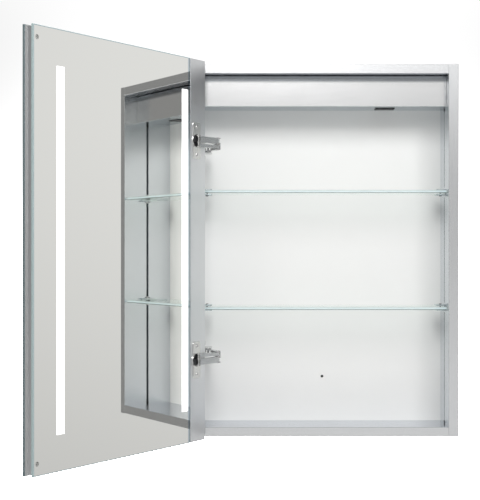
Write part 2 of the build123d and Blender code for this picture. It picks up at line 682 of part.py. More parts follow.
for name, top in SHELF_TOPS.items():
    with BuildPart() as glass:
        with BuildSketch(Plane.XY.offset(top - SHELF_THICKNESS)):
            front = FRONT_Y + SHELF_FRONT_SETBACK
            back = BACK_FACE_Y - SHELF_BACK_GAP
            with Locations((0, (front + back) / 2)):
                Rectangle(2 * (INNER_X - SHELF_SIDE_GAP), back - front)
            with Locations(*clip_spots()):
                Circle(SMALL_SCREW[0] + SCREW_FIT, mode=Mode.SUBTRACT)
        extrude(amount=SHELF_THICKNESS)
        chamfer(glass.edges().filter_by(Axis.X), GLASS_ARRIS)
    save(glass, f"shelf_glass_{name}")
    for side_name, side in SIDES.items():
        save(shelf_clip(side, top), f"shelf_clip_{name}_{side_name}")
    save(shelf_pads(top), f"shelf_pads_{name}")
    save(slot_nuts(top), f"shelf_nuts_{name}")
    # The clamp screws face the middle of the cabinet: from below on the upper shelf, above on the lower
    reach = PAD_THICKNESS + CLIP_PLATE
    if top > 0:
        underside = (0, 0, top - SHELF_THICKNESS - reach)
        head_plane = Plane(origin=underside, x_dir=(1, 0, 0), z_dir=(0, 0, -1))
        spots = [(x, -y) for x, y in clip_spots()]
    else:
        head_plane = Plane.XY.offset(top + reach)
        spots = clip_spots()
    clamp_length = SHELF_THICKNESS + 2 * reach - SCREW_END_GAP
    save(turned_screw(head_plane, spots, SMALL_SCREW, clamp_length), f"shelf_screws_{name}")

# ---------------------------------------------------------------- door

with BuildPart() as front_mirror:
    with BuildSketch(door_face(-DOOR_THICKNESS + GLASS)):
        with Locations((WIDTH / 2, 0)):
            Rectangle(WIDTH, HEIGHT)
    extrude(amount=GLASS)
    chamfer(outward_faces(front_mirror)[0].edges(), MIRROR_ARRIS)
save(front_mirror, "front_mirror")

with BuildPart() as light_sheet:
    with BuildSketch(door_face(FRAME_FRONT)):
        with Locations((WIDTH / 2, 0)):
            Rectangle(WIDTH - FRAME_INSET, HEIGHT - FRAME_INSET)
    extrude(amount=LIGHT_SHEET)
save(light_sheet, "light_sheet")

cup_centres = [(CUP_SETBACK, side * HINGE_HEIGHT) for side in HINGES.values()]
cup_screw_spots = [
    (CUP_SETBACK, z + step * CUP_SCREW_SPACING / 2) for _, z in cup_centres for step in (-1, 1)
]
key_z = FRAME_Z - FRAME_WIDTH / 2
key_width = FRAME_WIDTH - 2 * FRAME_WALL - 2 * KEY_GAP
key_depth = FRAME_DEPTH - 2 * FRAME_WALL - 2 * KEY_GAP
frame_middle = (FRAME_FRONT + FRAME_REAR) / 2

with BuildPart() as hinge_stile:
    with BuildSketch(door_plan(-HALF_H + STILE_SETBACK)):
        with Locations((STILE_WIDTH / 2, FRAME_FRONT / 2)):
            RectangleRounded(STILE_WIDTH, -FRAME_FRONT, EDGE_RADIUS)
            hollow = (STILE_WIDTH - 2 * FRAME_WALL, -FRAME_FRONT - 2 * FRAME_WALL)
            Rectangle(*hollow, mode=Mode.SUBTRACT)
    extrude(amount=HEIGHT - 2 * STILE_SETBACK)
    with BuildSketch(door_face(0)):
        with Locations(*cup_centres):
            Circle(CUP_RADIUS + CUP_HOLE_GAP)
        with Locations(*cup_screw_spots):
            Circle(SMALL_SCREW[0] + SCREW_FIT)
    extrude(amount=FRAME_WALL, mode=Mode.SUBTRACT)
    # Openings for the corner keys
    for level in (-1, 1):
        with BuildSketch(door_plan(level * key_z - key_width / 2 - KEY_GAP)):
            with Locations((STILE_WIDTH - FRAME_WALL / 2, frame_middle)):
                Rectangle(FRAME_WALL, key_depth + 2 * KEY_GAP)
        extrude(amount=key_width + 2 * KEY_GAP, mode=Mode.SUBTRACT)
save(hinge_stile, "hinge_stile")

with BuildPart() as free_stile:
    with BuildSketch(door_plan(-FRAME_Z)):
        with Locations((FREE_EDGE - FRAME_WIDTH / 2, frame_middle)):
            Rectangle(FRAME_WIDTH, FRAME_DEPTH)
            Rectangle(FRAME_WIDTH - 2 * FRAME_WALL, FRAME_DEPTH - 2 * FRAME_WALL, mode=Mode.SUBTRACT)
    extrude(amount=2 * FRAME_Z)
    for level in (-1, 1):
        with BuildSketch(door_plan(level * key_z - key_width / 2 - KEY_GAP)):
            with Locations((FREE_EDGE - FRAME_WIDTH + FRAME_WALL / 2, frame_middle)):
                Rectangle(FRAME_WALL, key_depth + 2 * KEY_GAP)
        extrude(amount=key_width + 2 * KEY_GAP, mode=Mode.SUBTRACT)
save(free_stile, "free_stile")

with BuildPart() as stile_caps:
    hollows = (
        (STILE_WIDTH / 2, STILE_WIDTH, FRAME_FRONT / 2, -FRAME_FRONT, HALF_H - STILE_SETBACK),
        (FREE_EDGE - FRAME_WIDTH / 2, FRAME_WIDTH, frame_middle, FRAME_DEPTH, FRAME_Z),
    )
    for middle, width, rise, depth, top in hollows:
        for base in (-top, top - STILE_CAP):
            with BuildSketch(door_plan(base)):
                with Locations((middle, rise)):
                    rim_width = 2 * (FRAME_WALL + PLUG_GAP)
                    Rectangle(width - rim_width, depth - rim_width)
            extrude(amount=STILE_CAP)
save(stile_caps, "stile_caps")

rail_start = STILE_WIDTH
rail_end = FREE_EDGE - FRAME_WIDTH
rail_cut = Plane(origin=CORNER + ALONG * rail_start, x_dir=OUTWARD, z_dir=ALONG)
for name, level in (("top", 1), ("bottom", -1)):
    with BuildPart() as rail:
        with BuildSketch(rail_cut):
            with Locations((frame_middle, level * key_z)):
                Rectangle(FRAME_DEPTH, FRAME_WIDTH)
                hollow = (FRAME_DEPTH - 2 * FRAME_WALL, FRAME_WIDTH - 2 * FRAME_WALL)
                Rectangle(*hollow, mode=Mode.SUBTRACT)
        extrude(amount=rail_end - rail_start)
    save(rail, f"door_rail_{name}")

with BuildPart() as corner_keys:
    with BuildSketch(door_face(frame_middle + key_depth / 2)):
        for s in (rail_start, rail_end):
            for level in (-1, 1):
                with Locations((s, level * key_z)):
                    Rectangle(KEY_LENGTH, key_width)
    extrude(amount=key_depth)
save(corner_keys, "corner_keys")

mirror_start = STILE_WIDTH + MIRROR_SEAM
with BuildPart() as rear_mirror:
    with BuildSketch(door_face(0)):
        with Locations(((mirror_start + WIDTH) / 2, 0)):
            Rectangle(WIDTH - mirror_start, HEIGHT)
    extrude(amount=GLASS)
    chamfer(outward_faces(rear_mirror)[-1].edges(), MIRROR_ARRIS)
save(rear_mirror, "rear_mirror")

with BuildPart() as mirror_tape:
    tape_span = FREE_EDGE - TAPE_INSET - mirror_start
    with BuildSketch(door_face(-GLASS)):
        with Locations((mirror_start + tape_span / 2, 0)):
            tape_height = 2 * (FRAME_Z - TAPE_INSET)
            Rectangle(tape_span, tape_height)
            Rectangle(tape_span - 2 * TAPE_WIDTH, tape_height - 2 * TAPE_WIDTH, mode=Mode.SUBTRACT)
    extrude(amount=TAPE)
save(mirror_tape, "mirror_tape")

with BuildPart() as led_carriers:
    with BuildSketch(door_face(frame_middle + CARRIER_THICKNESS / 2)):
        with Locations(*[(s, 0) for s in STRIPE_CENTRES]):
            Rectangle(CARRIER_WIDTH, 2 * (FRAME_Z - FRAME_WIDTH))
    extrude(amount=CARRIER_THICKNESS)
save(led_carriers, "led_carriers")

with BuildPart() as led_boards:
    rear_rise = frame_middle + CARRIER_THICKNESS / 2 + BOARD_THICKNESS
    for rise in (rear_rise, frame_middle - CARRIER_THICKNESS / 2):
        with BuildSketch(door_face(rise)):
            with Locations(*[(s, 0) for s in STRIPE_CENTRES]):
                Rectangle(BOARD_WIDTH, HEIGHT - 2 * STRIPE_END)
        extrude(amount=BOARD_THICKNESS)
save(led_boards, "led_boards")

with BuildPart() as door_bumpers:
    bumper_s = WIDTH - SIDE_THICKNESS / 2
    with BuildSketch(door_face(BUMPER_THICKNESS)):
        with Locations(*[(bumper_s, level * (HALF_H - BUMPER_DROP)) for level in (-1, 1)]):
            Circle(BUMPER_RADIUS)
    extrude(amount=BUMPER_THICKNESS)
    fillet(outward_faces(door_bumpers)[-2:].edges(), BUMPER_ROUND)
save(door_bumpers, "door_bumpers")

# ---------------------------------------------------------------- hinges


def hinge_cup(side):
    """Winged cup of one hinge, with the two ears that hold its pin."""
    centre = side * HINGE_HEIGHT
    ears = (
        (BEAM_LAYER[0] - LAYER_GAP - PLATE, BEAM_LAYER[0] - LAYER_GAP),
        (BEAM_LAYER[1] + LAYER_GAP, BEAM_LAYER[1] + LAYER_GAP + PLATE),
    )
    screw_spots = [(CUP_SETBACK, centre + step * CUP_SCREW_SPACING / 2) for step in (-1, 1)]
    with BuildPart() as cup:
        with BuildSketch(door_face(WING_THICKNESS)):
            with Locations((CUP_SETBACK, centre)):
                RectangleRounded(*WING_SIZE, WING_CORNER)
                Circle(CUP_RADIUS + CUP_COLLAR)
        extrude(amount=WING_THICKNESS)
        chamfer(outward_faces(cup)[-1].edges(), WING_CHAMFER)
        with BuildSketch(door_face(0)):
            with Locations((CUP_SETBACK, centre)):
                Circle(CUP_RADIUS)
        extrude(amount=CUP_DEPTH)
        with BuildSketch(door_face(WING_THICKNESS)):
            with Locations((CUP_SETBACK, centre)):
                Circle(CUP_RADIUS - CUP_WALL)
        extrude(amount=WING_THICKNESS + CUP_DEPTH - CUP_WALL, mode=Mode.SUBTRACT)
        with BuildSketch(door_face(WING_THICKNESS)):
            with Locations(*screw_spots):
                Circle(SMALL_SCREW[0] + SCREW_FIT)
        extrude(amount=WING_THICKNESS, mode=Mode.SUBTRACT)
        for low, high in ears:
            floor = -CUP_DEPTH + CUP_WALL / 2
            with BuildSketch(door_plan(base_of(side, low, high))):
                with Locations((CUP_SETBACK, (CUP_PIVOT_RISE + floor) / 2)):
                    Rectangle(2 * EAR_HALF, CUP_PIVOT_RISE - floor)
                with Locations((CUP_SETBACK, CUP_PIVOT_RISE)):
                    Circle(EAR_HALF)
                    Circle(PIN_RADIUS + PIN_FIT, mode=Mode.SUBTRACT)
            extrude(amount=high - low)
    return cup


def hinge_insert(side):
    """Black plastic filling of the cup: a lining, the catch between the ears and the cap beside it."""
    ear_low = BEAM_LAYER[0] - LAYER_GAP
    ear_high = BEAM_LAYER[1] + LAYER_GAP
    inner_radius = CUP_RADIUS - CUP_WALL - INSERT_GAP
    floor = -CUP_DEPTH + CUP_WALL
    catch_half = sqrt(inner_radius**2 - ear_high**2)
    catch = (ear_low + INSERT_GAP, ear_high - INSERT_GAP)
    # Each block: from and to along the door, from and to above its rear face
    blocks = (
        (-catch_half, catch_half, floor, CATCH_RISE),
        (CAP_START, catch_half, floor, CAP_RISE),
        (CAP_START, CAP_END, WING_THICKNESS + CAP_LIFT, CAP_RISE),
    )
    with BuildPart() as insert:
        for start, end, low, high in blocks:
            with BuildSketch(door_plan(base_of(side, *catch))):
                with Locations((CUP_SETBACK + (start + end) / 2, (low + high) / 2)):
                    Rectangle(end - start, high - low)
            extrude(amount=catch[1] - catch[0])
        chamfer(outward_faces(insert)[-1].edges(), INSERT_CHAMFER)
        slot_low = ear_low - PLATE - INSERT_GAP
        slot_high = ear_high + PLATE + INSERT_GAP
        with BuildSketch(door_face(LINING_RISE)):
            with Locations((CUP_SETBACK, side * HINGE_HEIGHT)):
                Circle(inner_radius)
            with Locations((CUP_SETBACK, side * (HINGE_HEIGHT + (slot_low + slot_high) / 2))):
                Rectangle(2 * CUP_RADIUS, slot_high - slot_low, mode=Mode.SUBTRACT)
        extrude(amount=LINING_RISE - floor)
    return insert


def channel(start, end, side, layer, half, web_side, end_half):
    """Pressed link: two plates with pin holes and a round end, joined by a web along one edge."""
    low, high = layer
    length = hypot(end.X - start.X, end.Y - start.Y)
    with BuildPart() as link:
        for plate_low in (low, high - PLATE):
            with BuildSketch(link_plan(start, end, base_of(side, plate_low, plate_low + PLATE))):
                with Locations((length / 2, 0)):
                    SlotCenterToCenter(length, 2 * half)
                with Locations((length, 0)):
                    Circle(end_half)
                with Locations((0, 0), (length, 0)):
                    Circle(PIN_RADIUS + PIN_FIT, mode=Mode.SUBTRACT)
            extrude(amount=PLATE)
        with BuildSketch(link_plan(start, end, base_of(side, low, high))):
            with Locations((length / 2, web_side * (half - PLATE / 2))):
                Rectangle(length, PLATE)
        extrude(amount=high - low)
    return link


def hinge_arm(side):
    """Fixed arm: two plates that hold the inner link's pin, and a web against the wall plate."""
    low, high = ARM_LAYER
    web_x = -INNER_X + WALL_PLATE
    tip_x = web_x + ARM_REACH
    back_y = FRONT_Y + ARM_BACK
    with BuildPart() as arm:
        for plate_low in (low, high - PLATE):
            with BuildSketch(Plane.XY.offset(base_of(side, plate_low, plate_low + PLATE))):
                with BuildLine():
                    Polyline(
                        (web_x, back_y),
                        (web_x, ARM_PIN.Y + LINK_HALF),
                        (ARM_PIN.X - LINK_HALF, ARM_PIN.Y - ARM_NOSE),
                        (ARM_PIN.X - ARM_NOSE, ARM_PIN.Y - LINK_HALF),
                        (ARM_PIN.X + ARM_NOSE, ARM_PIN.Y - LINK_HALF),
                        (ARM_PIN.X + LINK_HALF, ARM_PIN.Y - ARM_NOSE),
                        (tip_x - ARM_STEP, ARM_PIN.Y + 3 * LINK_HALF),
                        (tip_x - ARM_STEP, back_y - ARM_HEEL),
                        (tip_x - ARM_STEP - ARM_HEEL, back_y),
                        close=True,
                    )
                make_face()
                with Locations((ARM_PIN.X, ARM_PIN.Y)):
                    Circle(PIN_RADIUS + PIN_FIT, mode=Mode.SUBTRACT)
            extrude(amount=PLATE)
        web_low_y = ARM_PIN.Y + LINK_HALF + ARM_NOSE
        with BuildSketch(Plane.XY.offset(base_of(side, low, high))):
            with Locations((web_x + PLATE / 2, (web_low_y + back_y) / 2)):
                Rectangle(PLATE, back_y - web_low_y)
        extrude(amount=high - low)
        with BuildSketch(Plane.YZ.offset(web_x)):
            with Locations((FRONT_Y + ADJUSTER_SETBACK, side * (HINGE_HEIGHT + ARM_MIDDLE))):
                Circle(MEDIUM_SCREW[0] + SCREW_FIT)
        extrude(amount=PLATE, mode=Mode.SUBTRACT)
    return arm


def wall_plate(side):
    """Plate screwed to the left side panel, under the arm."""
    centre = side * (HINGE_HEIGHT + ARM_MIDDLE)
    y_low = FRONT_Y + WALL_PLATE_DEPTH[0]
    y_high = FRONT_Y + WALL_PLATE_DEPTH[1]
    spots = [(y, z) for y, z in plate_spots() if z * side > 0]
    with BuildPart() as plate:
        with BuildSketch(Plane.YZ.offset(-INNER_X)):
            with Locations(((y_low + y_high) / 2, centre)):
                RectangleRounded(y_high - y_low, ARM_LAYER[1] - ARM_LAYER[0], WALL_PLATE_CORNER)
            with Locations((FRONT_Y + PLATE_SCREW_SETBACK, centre)):
                wings = PLATE_SCREW_SPACING + 2 * WALL_PLATE_MARGIN
                RectangleRounded(2 * WALL_PLATE_MARGIN, wings, WALL_PLATE_ROUND)
            with Locations(*spots):
                Circle(MEDIUM_SCREW[0] + SCREW_FIT, mode=Mode.SUBTRACT)
            with Locations((FRONT_Y + ADJUSTER_SETBACK, centre)):
                Circle(MEDIUM_SCREW[0] + SCREW_FIT, mode=Mode.SUBTRACT)
        extrude(amount=WALL_PLATE)
    return plate


def pins(centre, low, high):
    """The same rivet in both hinges, with a head at each end."""
    with BuildPart() as group:
        for side in HINGES.values():
            with BuildSketch(Plane.XY.offset(base_of(side, low, high))):
                with Locations((centre.X, centre.Y)):
                    Circle(PIN_RADIUS)
            extrude(amount=high - low)
            for head_low, head_high in ((low - PIN_HEAD, low), (high, high + PIN_HEAD)):
                with BuildSketch(Plane.XY.offset(base_of(side, head_low, head_high))):
                    with Locations((centre.X, centre.Y)):
                        Circle(PIN_HEAD_RADIUS)
                extrude(amount=PIN_HEAD)
    return group


for name, side in HINGES.items():
    save(hinge_cup(side), f"hinge_cup_{name}")
    save(hinge_insert(side), f"hinge_insert_{name}")
    beam = channel(CUP_PIN, ELBOW_PIN, side, BEAM_LAYER, BEAM_HALF, -1, ELBOW_ROUND)
    save(beam, f"hinge_beam_{name}")
    link = channel(ARM_PIN, ELBOW_PIN, side, LINK_LAYER, LINK_HALF, 1, LINK_HALF)
    save(link, f"hinge_link_{name}")
    save(hinge_arm(side), f"hinge_arm_{name}")
    save(wall_plate(side), f"hinge_plate_{name}")

guides = [
    channel(CUP_PIN, ELBOW_PIN, side, GUIDE_LAYER, GUIDE_HALF, -1, GUIDE_HALF)
    for side in HINGES.values()
]
save(merge(guides), "hinge_guides")

save(pins(CUP_PIN, GUIDE_LAYER[0], BEAM_LAYER[1] + LAYER_GAP + PLATE), "cup_pins")
save(pins(ELBOW_PIN, LINK_LAYER[0], BEAM_LAYER[1] + LAYER_GAP), "elbow_pins")
save(pins(ARM_PIN, *ARM_LAYER), "arm_pins")

cup_screw_face = Plane(origin=CORNER + OUTWARD * WING_THICKNESS, x_dir=-ALONG, z_dir=OUTWARD)
wing_spots = [(-s, z) for s, z in cup_screw_spots]
save(turned_screw(cup_screw_face, wing_spots, SMALL_SCREW, CUP_SCREW_LENGTH), "cup_screws")

plate_face = Plane(origin=(-INNER_X + WALL_PLATE, 0, 0), x_dir=(0, 1, 0), z_dir=(1, 0, 0))
arm_face = Plane(origin=(-INNER_X + WALL_PLATE + PLATE, 0, 0), x_dir=(0, 1, 0), z_dir=(1, 0, 0))
adjusters = [
    (FRONT_Y + ADJUSTER_SETBACK, side * (HINGE_HEIGHT + ARM_MIDDLE)) for side in HINGES.values()
]
save(
    merge([
        turned_screw(plate_face, plate_spots(), MEDIUM_SCREW, WALL_PLATE + PLATE_SCREW_BITE),
        turned_screw(arm_face, adjusters, MEDIUM_SCREW, WALL_PLATE + PLATE - SCREW_END_GAP),
    ]),
    "plate_screws",
)
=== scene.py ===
"""Looks of a wall-mounted medicine cabinet with a lighted mirror door.

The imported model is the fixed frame. Origin: centre of the back face on the wall; X right as seen
from the front, Y into the wall, Z up; metres. The door hangs open on the left.
"""

import json
import math

import bmesh
import bpy
from mathutils import Matrix, Vector


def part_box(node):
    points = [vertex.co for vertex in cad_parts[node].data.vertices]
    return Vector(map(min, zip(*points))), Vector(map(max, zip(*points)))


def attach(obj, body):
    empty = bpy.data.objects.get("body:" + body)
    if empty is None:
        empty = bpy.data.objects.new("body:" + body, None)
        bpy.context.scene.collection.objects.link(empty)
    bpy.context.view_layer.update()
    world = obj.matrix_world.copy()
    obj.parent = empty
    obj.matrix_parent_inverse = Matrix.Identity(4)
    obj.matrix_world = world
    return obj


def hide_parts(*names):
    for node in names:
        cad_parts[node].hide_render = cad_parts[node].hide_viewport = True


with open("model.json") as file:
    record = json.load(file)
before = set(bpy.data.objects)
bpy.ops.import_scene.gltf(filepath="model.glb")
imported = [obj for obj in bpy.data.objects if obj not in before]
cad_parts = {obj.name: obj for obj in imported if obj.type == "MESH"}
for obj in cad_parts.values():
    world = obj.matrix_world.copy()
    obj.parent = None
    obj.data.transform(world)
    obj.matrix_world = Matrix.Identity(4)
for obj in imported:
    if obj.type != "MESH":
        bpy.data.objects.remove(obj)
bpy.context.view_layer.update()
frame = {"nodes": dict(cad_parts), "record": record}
nodes = frame["nodes"]

MM = 0.001
LEVELS = ("upper", "lower")


# ---------------------------------------------------------------- shader writing


class Wire:
    """A shader value; arithmetic on it adds Math nodes."""

    def __init__(self, graph, socket):
        self.graph = graph
        self.socket = socket

    def math(self, operation, *values):
        return self.graph.node("Math", {"operation": operation}, dict(enumerate(values)))

    def __add__(self, other):
        return self.math("ADD", self, other)

    __radd__ = __add__

    def __sub__(self, other):
        return self.math("SUBTRACT", self, other)

    def __rsub__(self, other):
        return self.math("SUBTRACT", other, self)

    def __mul__(self, other):
        return self.math("MULTIPLY", self, other)

    __rmul__ = __mul__

    def __gt__(self, other):
        return self.math("GREATER_THAN", self, other)

    def __lt__(self, other):
        return self.math("LESS_THAN", self, other)

    def __and__(self, other):
        return self.math("MINIMUM", self, other)

    def __or__(self, other):
        return self.math("MAXIMUM", self, other)

    def __abs__(self):
        return self.math("ABSOLUTE", self)

    def exp(self):
        return self.math("EXPONENT", self)


class Graph:
    """A node tree being written."""

    def __init__(self, tree):
        self.tree = tree
        tree.nodes.clear()

    def node(self, kind, settings=None, sockets=None, output=0):
        """One node, its settings made before its sockets are filled; gives one of its outputs."""
        made = self.tree.nodes.new("ShaderNode" + kind)
        for key, value in (settings or {}).items():
            if key == "stops":
                ramp = made.color_ramp
                while len(ramp.elements) < len(value):
                    ramp.elements.new(1)
                for element, (position, colour) in zip(ramp.elements, value):
                    element.position = position
                    element.color = (*colour, 1)
            else:
                setattr(made, key, value)
        for key, value in (sockets or {}).items():
            socket = made.inputs[key]
            if isinstance(value, Wire):
                self.tree.links.new(value.socket, socket)
            elif hasattr(value, "__len__") and (len(value), len(socket.default_value)) == (3, 4):
                socket.default_value = (*value, 1)
            else:
                socket.default_value = value
        return Wire(self, made.outputs[output])

    def place(self, location=(0, 0, 0), turn=0.0, scale=(1, 1, 1)):
        """Object coordinates, measured from a location along turned and scaled axes."""
        here = self.node("TexCoord", output="Object")
        return self.node(
            "Mapping",
            {"vector_type": "TEXTURE"},
            {"Vector": here, "Location": location, "Rotation": (0, 0, turn), "Scale": scale},
        )

    def axes(self, vector):
        """The three components of a vector."""
        split = self.node("SeparateXYZ", None, {0: vector}).socket.node
        return [Wire(self, output) for output in split.outputs]

    def noise(self, vector, scale, detail=2.0, roughness=0.5):
        return self.node(
            "TexNoise",
            None,
            {"Vector": vector, "Scale": scale, "Detail": detail, "Roughness": roughness},
        )

    def blend(self, factor, first, second):
        """Colour that goes from first to second as the factor goes from 0 to 1."""
        return self.node("Mix", {"data_type": "RGBA"}, {0: factor, 6: first, 7: second}, output=2)

    def scaled(self, colour, shade):
        """A colour multiplied by a value."""
        return self.node("VectorMath", {"operation": "SCALE"}, {0: colour, "Scale": shade})

    def ramp(self, value, *stops):
        """Colour by value, from stops that are pairs of a place from 0 to 1 and a colour."""
        return self.node("ValToRGB", {"stops": stops}, {0: value})

    def span(self, value, low, high):
        """0 up to low, 1 from high on, and evenly between them."""
        return self.node("MapRange", {"clamp": True}, {0: value, 1: low, 2: high})


class Finish(Graph):
    """A material in the making: its nodes, joined up to one Principled shader."""

    def __init__(self, name, **constants):
        self.material = bpy.data.materials.new(name)
        self.material.use_nodes = True
        super().__init__(self.material.node_tree)
        self.out = self.tree.nodes.new("ShaderNodeOutputMaterial")
        self.shader = self.node("BsdfPrincipled")
        self.tree.links.new(self.shader.socket, self.out.inputs["Surface"])
        self.feed(**constants)

    def feed(self, **sockets):
        """Values or wires for the Principled shader's own sockets."""
        shader = self.shader.socket.node
        for key, value in sockets.items():
            socket = shader.inputs[key.replace("_", " ")]
            if isinstance(value, Wire):
                self.tree.links.new(value.socket, socket)
            else:
                socket.default_value = value
        return self

    def bump(self, height, strength, distance):
        """Relief of the surface, with its height in metres as the distance."""
        sockets = {"Height": height, "Strength": strength, "Distance": distance}
        self.feed(Normal=self.node("Bump", None, sockets))


record = frame["record"]
BODY_OF = {node: body for body, names in record["behaviour"]["bodies"].items() for node in names}
FINISH_OF = {}


def put(finish, *names):
    """Gives CAD nodes their finish."""
    for name in names:
        mesh = nodes[name].data
        mesh.materials.clear()
        mesh.materials.append(finish.material)
        FINISH_OF[name] = finish


# ---------------------------------------------------------------- finishes

# The open door: its hinge-side corner, the way that its width runs, and the way that its back faces
DOOR_TURN = math.radians(-120.5)
ALONG = Vector((math.cos(DOOR_TURN), math.sin(DOOR_TURN), 0))
OUTWARD = Vector((-ALONG.y, ALONG.x, 0))
DOOR_CORNER = Vector((-0.2283, -0.1574, 0))
DOOR_WIDTH = 0.508
DOOR_HEIGHT = 0.711

# Mirrors: light stripes, places measured across the door from the hinge side
STRIPE_MIDDLES = (0.070, 0.439)
STRIPE_HALF = 0.0104
STRIPE_END_GAP = 0.060
STRIPE_GLOW = 0.96
REAR_MIRROR_START = 0.0513
# Width of the painted shade along the rear mirror's edge by the hinges
BORDER_SHADE_WIDTH = 0.0085
OUTER_RIM = 0.002
GROUND_EDGE = 0.0007
SILVER = (0.925, 0.925, 0.89)
WHITE = (1.0, 1.0, 1.0)
BLACK = (0, 0, 0)

# The cabinet's metal: where its inside begins, behind its front faces and within its outer ones,
# and the gap above the light box. There the metal is given darker, bluer tones: painted shade.
SIDE_INNER_X = 0.2535
RAIL_INNER_Z = 0.355
BEHIND = 0.0005
FRONT_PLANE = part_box("side_panel_left")[0].y + BEHIND
BOX_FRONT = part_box("light_box_cover")[0].y + BEHIND
# Painted shade in the gap above the light box: its colour, and the heights over which it sets in
GAP_PAINTED_SHADE = (0.27, 0.285, 0.30)
GAP_PAINTED_SHADE_HEIGHTS = (0.3225, 0.3275)

DIE_LINE_STRETCH = 60.0
STREAK = 0.05
MOTTLING = 0.12


def drawn_metal(name, colour, along, roughness, painted_inner_shade=None, inside=None, gap=None):
    """Satin extruded metal: fine die lines along its length, and a slight cloudiness.

    Inside the cabinet, in the zone that inside gives, its colour is the given darker, bluer one:
    painted shade. Over the heights in gap it falls to a darker painted shade, and keeps that above
    them.
    """
    stretch = [1.0, 1.0, 1.0]
    stretch["XYZ".index(along)] = DIE_LINE_STRETCH
    metal = Finish(name, Metallic=1.0, IOR=1.5)
    if painted_inner_shade:
        x, y, z = metal.axes(metal.place())
        # Painted shade: the metal darker and bluer inside the cabinet
        colour = metal.blend(inside(x, y, z), colour, painted_inner_shade)
        if gap:
            # Painted shade: darker still over the gap above the light box, and above it
            colour = metal.blend(metal.span(z, *gap), colour, GAP_PAINTED_SHADE)
    lines = metal.noise(metal.place(scale=stretch), 1400, 3, 0.6)
    cloud = metal.noise(metal.place(), 9, 3, 0.5)
    shade = 1 - STREAK / 2 + STREAK * (lines * 0.6 + cloud * 0.4)
    metal.feed(
        Base_Color=metal.scaled(colour, shade),
        Roughness=roughness - 0.05 + 0.1 * lines,
    )
    metal.bump(lines, 0.12, 0.00006)
    return metal


def painted(name, colour, roughness, grain=0.06):
    """Stoved paint: an even skin with a fine orange peel and a hint of cloudiness."""
    paint = Finish(name, IOR=1.5)
    peel = paint.noise(paint.place(), 900, 2, 0.5)
    cloud = paint.noise(paint.place(), 6, 3, 0.5)
    paint.feed(
        Base_Color=paint.scaled(colour, 0.98 + 0.03 * cloud),
        Roughness=roughness + 0.08 * (cloud - 0.5),
    )
    paint.bump(peel, grain, 0.00008)
    return paint


def moulded(name, colour, roughness=0.45, grain=0.15):
    """Moulded plastic with a spark-eroded grain."""
    plastic = Finish(name, IOR=1.46)
    grains = plastic.noise(plastic.place(), 2600, 2, 0.6)
    cloud = plastic.noise(plastic.place(), 40, 2, 0.5)
    plastic.feed(
        Base_Color=plastic.scaled(colour, 0.94 + 0.12 * cloud),
        Roughness=roughness + 0.15 * (grains - 0.5),
    )
    plastic.bump(grains, grain, 0.00005)
    return plastic


def plated(name, colour, roughness):
    """Plated hinge metal: bright, with a faint barrel-plated mottling and fine scratches."""
    metal = Finish(name, Metallic=1.0)
    mottle = metal.noise(metal.place(), 350, 4, 0.6)
    scratch = metal.noise(metal.place(turn=0.6, scale=(1, 14, 14)), 3000, 2, 0.7)
    metal.feed(
        Base_Color=metal.scaled(colour, 1 - MOTTLING / 2 + MOTTLING * mottle),
        Roughness=roughness + 0.12 * (scratch - 0.4),
    )
    metal.bump(mottle * 0.6 + scratch * 0.4, 0.1, 0.00008)
    return metal


def mirror_plate(name, start, edge):
    """Silvered glass with two frosted stripes lit from behind.

    The plate begins at start across the door, and edge is the colour of its ground edges.
    """
    glass = Finish(name, IOR=1.5, Emission_Strength=STRIPE_GLOW)
    s, _, z = glass.axes(glass.place(location=DOOR_CORNER, turn=DOOR_TURN))
    half = DOOR_HEIGHT / 2
    inside = (
        (s > start + GROUND_EDGE) & (s < DOOR_WIDTH - GROUND_EDGE) & (abs(z) < half - GROUND_EDGE)
    )
    left, right = (
        (abs(s - middle) < STRIPE_HALF) & (abs(z) < half - STRIPE_END_GAP)
        for middle in STRIPE_MIDDLES
    )
    stripes = left | right
    silver = inside & (1 - stripes)
    cloud = glass.noise(glass.place(), 3, 2, 0.5)
    outer_rim = (s > DOOR_WIDTH - OUTER_RIM) | (abs(z) > half - OUTER_RIM)
    face = glass.blend(outer_rim, SILVER, (0.52, 0.62, 0.65))
    if start:
        # Border by the hinges: painted shade, a dark line near the edge that lightens toward the
        # face
        painted_border_shade = glass.ramp(
            glass.span(s, start, start + BORDER_SHADE_WIDTH),
            (0.0, (0.42, 0.50, 0.54)),
            (0.10, (0.22, 0.27, 0.30)),
            (0.30, (0.24, 0.29, 0.31)),
            (0.42, (0.50, 0.56, 0.60)),
            (1.0, (0.66, 0.72, 0.75)),
        )
        face = glass.blend(s < start + BORDER_SHADE_WIDTH, face, painted_border_shade)
    plate = glass.blend(silver, edge, face)
    glass.feed(
        Base_Color=glass.blend(stripes, plate, WHITE),
        Metallic=silver,
        Roughness=0.14 + silver * (0.002 * cloud - 0.13),
        Emission_Color=glass.blend(stripes, BLACK, WHITE),
    )
    return glass


